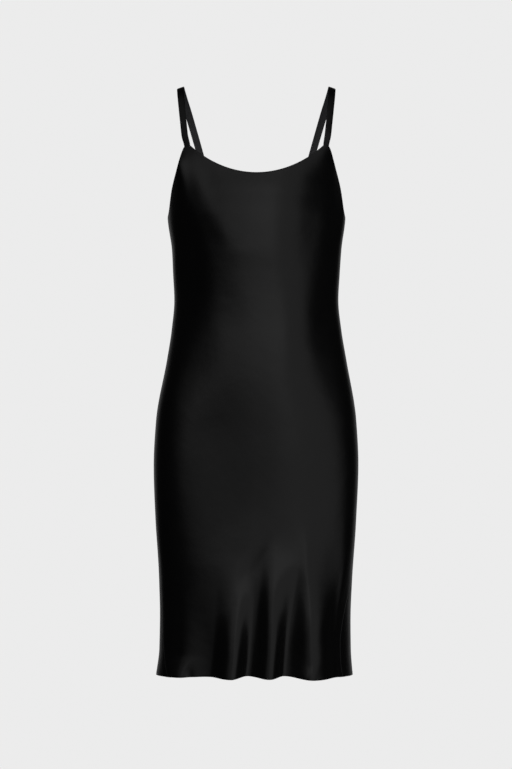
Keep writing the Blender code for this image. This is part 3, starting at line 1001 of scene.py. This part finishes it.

# %% [markdown]
# The noises read the cloth's own UV map, which is in metres, so they keep their size from
# piece to piece. The one for the floating threads is turned to the bias and drawn out along
# the threads. Two coarser ones make the sheen uneven and ripple the cloth a little.
#
# Satin has a dull side too, a little greyer than the right side. The straps' inner face, the one
# that lies on the shoulder, is painted a far lighter grey than that: a painted reflection of the
# light in front of the dress. Round a strap the UV map first crosses the outer face, for one width
# of the strap, and what lies beyond that is the inner face.

# %% The satin
SATIN_BLACK = (0.0016, 0.0016, 0.0018, 1.0)  # between the threads
SATIN_WORN = (0.0030, 0.0030, 0.0033, 1.0)  # and along them
PAINTED_REFLECTION_GREY = (0.064, 0.064, 0.067, 1.0)  # painted reflection on the straps' inner faces
PANEL_ROUGHNESS = 0.31
STRAP_ROUGHNESS = 0.33
ROUGHNESS_SPREAD = 0.035  # how far the weave's unevenness takes it either way
BIAS_ANGLE = 45
THREAD_SCALE = (2200, 130, 1)  # across the threads and along them, per metre
FLOATS = Noise(1.0, 2.0, 0.6)
UNEVEN = Noise(26.0, 3.0, 0.5)  # its scale, and a ripple's, are per metre
RIPPLE = Noise(38.0, 2.0, 0.45)
RIPPLE_DEPTH = 0.00035
STREAK_DEPTH = 0.00002  # of the relief along the threads


def painted_reflection_inside(tree, cloth, colour, painted_reflection_from):
    """That colour on the outer face of a strap, and on its inner face a lighter grey: a painted
    reflection.
    """
    place = add(tree, "ShaderNodeSeparateXYZ")
    link(tree, cloth, place.inputs["Vector"])
    sides = add(tree, "ShaderNodeMix", data_type="RGBA", B=PAINTED_REFLECTION_GREY)
    inside = reckon(tree, "GREATER_THAN", place.outputs["X"], painted_reflection_from)
    link(tree, inside, sides.inputs["Factor"])
    link(tree, colour, sides.inputs["A"])
    return sides.outputs["Result"]


def make_satin(name, roughness, painted_reflection_from=None):
    """Black satin. From the given distance round a strap, it is painted a lighter grey: a painted
    reflection on the strap's inner face.
    """
    satin, tree, shader = new_finish(name)
    cloth = add(tree, "ShaderNodeUVMap", uv_map="cloth").outputs["UV"]
    bias = add(tree, "ShaderNodeMapping", Rotation=(0, 0, math.radians(BIAS_ANGLE)))
    link(tree, cloth, bias.inputs["Vector"])
    threads = add(tree, "ShaderNodeMapping", Scale=THREAD_SCALE)
    link(tree, bias.outputs["Vector"], threads.inputs["Vector"])
    floats = noise(tree, FLOATS, threads.outputs["Vector"])

    dye = add(tree, "ShaderNodeMix", data_type="RGBA", A=SATIN_BLACK, B=SATIN_WORN)
    link(tree, floats, dye.inputs["Factor"])
    colour = dye.outputs["Result"]
    if painted_reflection_from is not None:
        colour = painted_reflection_inside(tree, cloth, colour, painted_reflection_from)
    link(tree, colour, shader.inputs["Base Color"])

    low, high = roughness - ROUGHNESS_SPREAD, roughness + ROUGHNESS_SPREAD
    sheen = add(tree, "ShaderNodeMapRange", To_Min=low, To_Max=high)
    link(tree, noise(tree, UNEVEN, cloth), sheen.inputs["Value"])
    link(tree, sheen.outputs["Result"], shader.inputs["Roughness"])

    ripples = relief(tree, noise(tree, RIPPLE, cloth), RIPPLE_DEPTH)
    weave = relief(tree, floats, STREAK_DEPTH, under=ripples)
    link(tree, weave, shader.inputs["Normal"])
    return satin


satin = make_satin("black_satin", PANEL_ROUGHNESS)
# the straps' satin carries a painted reflection on their inner faces
strap_satin = make_satin("black_strap_satin", STRAP_ROUGHNESS, painted_reflection_from=STRAP_WIDTH)
print("nodes in the straps' satin:", len(strap_satin.node_tree.nodes))

# %% [markdown]
# Sewing thread is matt beside satin, and a little greyer. Its twist is far too fine to model,
# so it is a noise in the relief. The stitches have no UV map, so the noise reads Object
# coordinates.

# %% The thread
THREAD_BLACK = (0.012, 0.012, 0.013, 1.0)
THREAD_ROUGHNESS = 0.6
TWIST = Noise(4000.0, 1.0, 0.5)
TWIST_DEPTH = 0.00005
TWIST_STRENGTH = 0.5


def make_thread():
    thread, tree, shader = new_finish("black_thread")
    shader.inputs["Base Color"].default_value = THREAD_BLACK
    shader.inputs["Roughness"].default_value = THREAD_ROUGHNESS
    place = add(tree, "ShaderNodeTexCoord").outputs["Object"]
    twist = relief(tree, noise(tree, TWIST, place), TWIST_DEPTH, TWIST_STRENGTH)
    link(tree, twist, shader.inputs["Normal"])
    return thread


thread = make_thread()
for piece, finish in (
    (front, satin),
    (back, satin),
    (strap_left, strap_satin),
    (strap_right, strap_satin),
    (front_stitches, thread),
    (back_stitches, thread),
):
    piece.data.materials.append(finish)
    print(piece.name, "is made of", finish.name)

# %% [markdown]
# ## Put each piece on the frame's body
#
# Every piece rides on the dress's one body, and the cloth takes the place of the solids.

# %% Ride and replace
for piece, node, slot in (
    (front, "front", "satin"),
    (back, "back", "satin"),
    (strap_left, "strap_left", "strap_satin"),
    (strap_right, "strap_right", "strap_satin"),
):
    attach(piece, "root")
    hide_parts(node)
for piece in (front_stitches, back_stitches):
    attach(piece, "root")

# %% [markdown]
# ## The room
#
# The dress hangs in a plain pale studio. The floor is where a wearer's feet would be. It is
# there for the eye alone and clear to the light, because the panels that light the satin
# reach below the dress. The walls are left to the world's colour, so that the view can go all
# the way round.

# %% The floor
FLOOR_HEIGHT = -1.39
FLOOR_REACH = 30.0
FLOOR_SIDES = 64
STUDIO_GREY = (0.838, 0.838, 0.838, 1.0)


def apart_for_the_eye(tree, lit, seen):
    """A shader that lights the scene in one way and shows itself to the camera in another."""
    path = add(tree, "ShaderNodeLightPath")
    mix = add(tree, "ShaderNodeMixShader")
    link(tree, path.outputs["Is Camera Ray"], mix.inputs["Fac"])
    link(tree, lit, mix.inputs[1])
    link(tree, seen, mix.inputs[2])
    return mix.outputs["Shader"]


def make_floor():
    plane = bmesh.new()
    bmesh.ops.create_circle(plane, cap_ends=True, segments=FLOOR_SIDES, radius=FLOOR_REACH)
    bmesh.ops.translate(plane, verts=plane.verts, vec=(0, 0, FLOOR_HEIGHT))
    floor = piece_from("floor", plane)
    paint, tree, shader = new_finish("pale_floor")
    tree.nodes.remove(shader)
    glow = add(tree, "ShaderNodeEmission", Color=STUDIO_GREY)
    clear = add(tree, "ShaderNodeBsdfTransparent")
    both = apart_for_the_eye(tree, clear.outputs["BSDF"], glow.outputs["Emission"])
    link(tree, both, tree.nodes["Material Output"].inputs["Surface"])
    floor.data.materials.append(paint)
    return floor


make_floor()
print("floor at", FLOOR_HEIGHT)

# %% [markdown]
# ## The light
#
# Black satin shows the room more than itself. Tall soft panels stand round the front of the
# room, taller than the dress, so what a stretch of cloth reflects depends on the way it turns
# to the side more than on its tilt. They are brighter on the right of the view than on the
# left, and fade out high up. The left end leans outward, and the right end closes in a little
# above and below the level. The sides of the room are dark, so the dress falls away to black
# before its outline, and a dim wall behind lights the back. We write this as the brightness
# of the world in each direction: a few fades across the room, multiplied.

# %% Where the panels stand
PANELS = 0.340  # the brightness of the panels on the right
LEFT_SHARE = 0.463  # and of those on the left, beside it
LEFT_TO_RIGHT = (-28, 14)  # between these angles from the view the one goes over into the other
LEFT_END = (-62, -42)  # where the panels fade in, in degrees to the right of the view
RIGHT_END = (92, 72)
LEFT_LEAN = 1.17  # how much further left that end is for each degree up
RIGHT_ROUND = 0.55  # how much further in the other end is for each degree from the level
LEAN_LIMIT = 30  # this many degrees from the level, the ends lean and close in no further
TOP = (62, 40)  # where the panels fade in, in degrees above the level
WALL = 0.22
WALL_ENDS = (50, 25)  # how far from straight behind the wall fades in
DARK_ROOM = 0.012
WHITE = (1.0, 1.0, 1.0, 1.0)
print("the panels reach from", LEFT_END[1], "to", RIGHT_END[1], "degrees at full brightness")

# %% [markdown]
# The world's shader is asked for the light from each direction. Its x, y and z give the angle
# across the room and the angle up, and every fade is a smooth step between two such angles.


# %% The world's brightness
def fade(tree, value, ends, low=0.0, high=1.0):
    """Goes smoothly from low to high as the value goes from the first end to the second."""
    ramp = add(tree, "ShaderNodeMapRange", interpolation_type="SMOOTHSTEP")
    ramp.inputs["From Min"].default_value = math.radians(ends[0])
    ramp.inputs["From Max"].default_value = math.radians(ends[1])
    ramp.inputs["To Min"].default_value = low
    ramp.inputs["To Max"].default_value = high
    link(tree, value, ramp.inputs["Value"])
    return ramp.outputs["Result"]


def brightness_of_room(tree):
    """The brightness of the room in each direction."""
    parts = add(tree, "ShaderNodeSeparateXYZ")
    link(tree, add(tree, "ShaderNodeTexCoord").outputs["Generated"], parts.inputs["Vector"])
    ahead = reckon(tree, "MULTIPLY", parts.outputs["Y"], -1.0)
    across = reckon(tree, "ARCTAN2", parts.outputs["X"], ahead)
    up = reckon(tree, "ARCSINE", parts.outputs["Z"])
    limit = math.radians(LEAN_LIMIT)
    steep = reckon(tree, "MINIMUM", reckon(tree, "ABSOLUTE", up), limit)
    tilt = reckon(tree, "MAXIMUM", up, -limit)
    left = reckon(tree, "ADD", across, reckon(tree, "MULTIPLY", tilt, LEFT_LEAN))
    right = reckon(tree, "ADD", across, reckon(tree, "MULTIPLY", steep, RIGHT_ROUND))
    panels = fade(tree, across, LEFT_TO_RIGHT, PANELS * LEFT_SHARE, PANELS)
    for value, ends in ((left, LEFT_END), (right, RIGHT_END), (up, TOP)):
        panels = reckon(tree, "MULTIPLY", panels, fade(tree, value, ends))
    behind = reckon(tree, "ARCCOSINE", parts.outputs["Y"])
    wall = fade(tree, behind, WALL_ENDS, 0.0, WALL)
    return reckon(tree, "ADD", reckon(tree, "ADD", panels, wall), DARK_ROOM)


def make_world():
    """The studio's light, with a plain pale wall for the eye."""
    world = bpy.data.worlds.new("studio")
    bpy.context.scene.world = world
    world.use_nodes = True
    tree = world.node_tree
    lit = tree.nodes["Background"]
    lit.inputs["Color"].default_value = WHITE
    link(tree, brightness_of_room(tree), lit.inputs["Strength"])
    plain = add(tree, "ShaderNodeBackground", Color=STUDIO_GREY)
    both = apart_for_the_eye(tree, lit.outputs["Background"], plain.outputs["Background"])
    link(tree, both, tree.nodes["World Output"].inputs["Surface"])
    return world


print("nodes in the world:", len(make_world().node_tree.nodes))

# %% [markdown]
# The panels are so far off that only the way the cloth turns matters. A large softbox hangs
# nearer, in front of the upper half of the dress, where only the chest and the tilted heads of
# the flutes reflect it. That is why they are brighter than the hips, which hang straight.
# The Standard view shows each brightness as it is, without a film's curve.

# %% Hang the softbox
SOFTBOX_PLACE = (-0.53, -1.6, 0.59)  # the middle of its face
SOFTBOX_SIZE = (2.33, 2.40)
SOFTBOX_GLOW = 0.240  # the brightness of its face, to compare with PANELS


def hang_softbox():
    lamp = bpy.data.lights.new("softbox", "AREA")
    lamp.shape = "RECTANGLE"
    lamp.size, lamp.size_y = SOFTBOX_SIZE
    lamp.energy = SOFTBOX_GLOW * math.pi * lamp.size * lamp.size_y
    box = bpy.data.objects.new("softbox", lamp)
    box.location = SOFTBOX_PLACE
    box.rotation_euler = (math.radians(90), 0, 0)
    box.visible_camera = False
    bpy.context.scene.collection.objects.link(box)
    return lamp


print("the softbox, in watts:", round(hang_softbox().energy, 2))
bpy.context.scene.view_settings.view_transform = "Standard"
